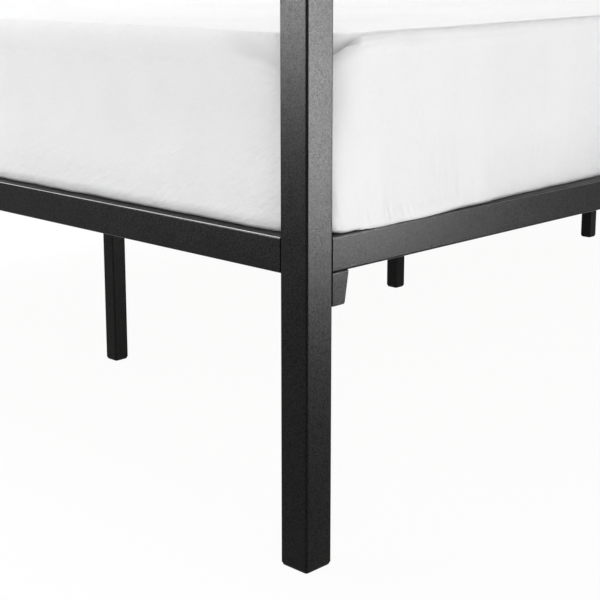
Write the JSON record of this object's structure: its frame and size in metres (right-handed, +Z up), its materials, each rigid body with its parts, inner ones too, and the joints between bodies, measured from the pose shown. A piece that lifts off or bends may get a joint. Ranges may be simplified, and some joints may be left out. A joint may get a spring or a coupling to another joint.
{
  "type": "four poster canopy bed",
  "caption": "Metal four poster canopy bed for a queen mattress: square tube posts and rails, canopy frame, upright-bar headboard, slatted base on centre legs, and a lift-off mattress.",
  "frame": {"origin": "on the floor, under the middle of the bed's footprint", "axes": "+Z up; +X across the bed to its right side as seen from the foot; +Y along the bed from foot to head"},
  "size_m": [1.53, 2.086, 1.87],
  "materials": {
    "powder_coat": "fine textured satin black powder coat",
    "black_plastic": "matt moulded polyethylene",
    "slat_wood": "sanded pine, unvarnished",
    "slat_tape": "woven polypropylene tape",
    "bolt_black": "black oxide",
    "bright_zinc": "zinc plated",
    "mattress_foam": "open cell foam",
    "mattress_fabric": "smooth white knitted cover"
  },
  "bodies": {
    "frame": {"beam_cradle_foot": "powder_coat", "beam_cradle_head": "powder_coat", "bolts": "bolt_black", "canopy_corner_foot_left": "powder_coat", "canopy_corner_foot_right": "powder_coat", "canopy_corner_head_left": "powder_coat", "canopy_corner_head_right": "powder_coat", "canopy_rail_foot": "powder_coat", "canopy_rail_head": "powder_coat", "canopy_rail_left": "powder_coat", "canopy_rail_right": "powder_coat", "centre_beam": "powder_coat", "corner_bracket_foot_left": "powder_coat", "corner_bracket_foot_right": "powder_coat", "corner_bracket_head_left": "powder_coat", "corner_bracket_head_right": "powder_coat", "foot_rail": "powder_coat", "glide_foot_left": "black_plastic", "glide_foot_right": "black_plastic", "glide_head_left": "black_plastic", "glide_head_right": "black_plastic", "head_rail": "powder_coat", "headboard_bar_1": "powder_coat", "headboard_bar_2": "powder_coat", "headboard_bar_3": "powder_coat", "headboard_bar_4": "powder_coat", "headboard_bar_5": "powder_coat", "headboard_rail": "powder_coat", "leg_glide_1": "black_plastic", "leg_glide_2": "black_plastic", "leg_glide_3": "black_plastic", "post_foot_left": "powder_coat", "post_foot_right": "powder_coat", "post_head_left": "powder_coat", "post_head_right": "powder_coat", "side_rail_left": "powder_coat", "side_rail_right": "powder_coat", "slat_01": "slat_wood", "slat_02": "slat_wood", "slat_03": "slat_wood", "slat_04": "slat_wood", "slat_05": "slat_wood", "slat_06": "slat_wood", "slat_07": "slat_wood", "slat_08": "slat_wood", "slat_09": "slat_wood", "slat_10": "slat_wood", "slat_11": "slat_wood", "slat_12": "slat_wood", "slat_13": "slat_wood", "slat_ledge_left": "powder_coat", "slat_ledge_right": "powder_coat", "slat_strap_left": "slat_tape", "slat_strap_right": "slat_tape", "support_leg_1": "powder_coat", "support_leg_2": "powder_coat", "support_leg_3": "powder_coat", "weld_nuts": "bright_zinc"},
    "mattress": {"mattress_core": "mattress_foam", "mattress_cover": "mattress_fabric"}
  },
  "joints": [
    {"name": "mattress_lift", "type": "slide", "parent": "frame", "child": "mattress", "axis": [0, 0, 1], "range_m": [0, 0.35]}
  ]
}
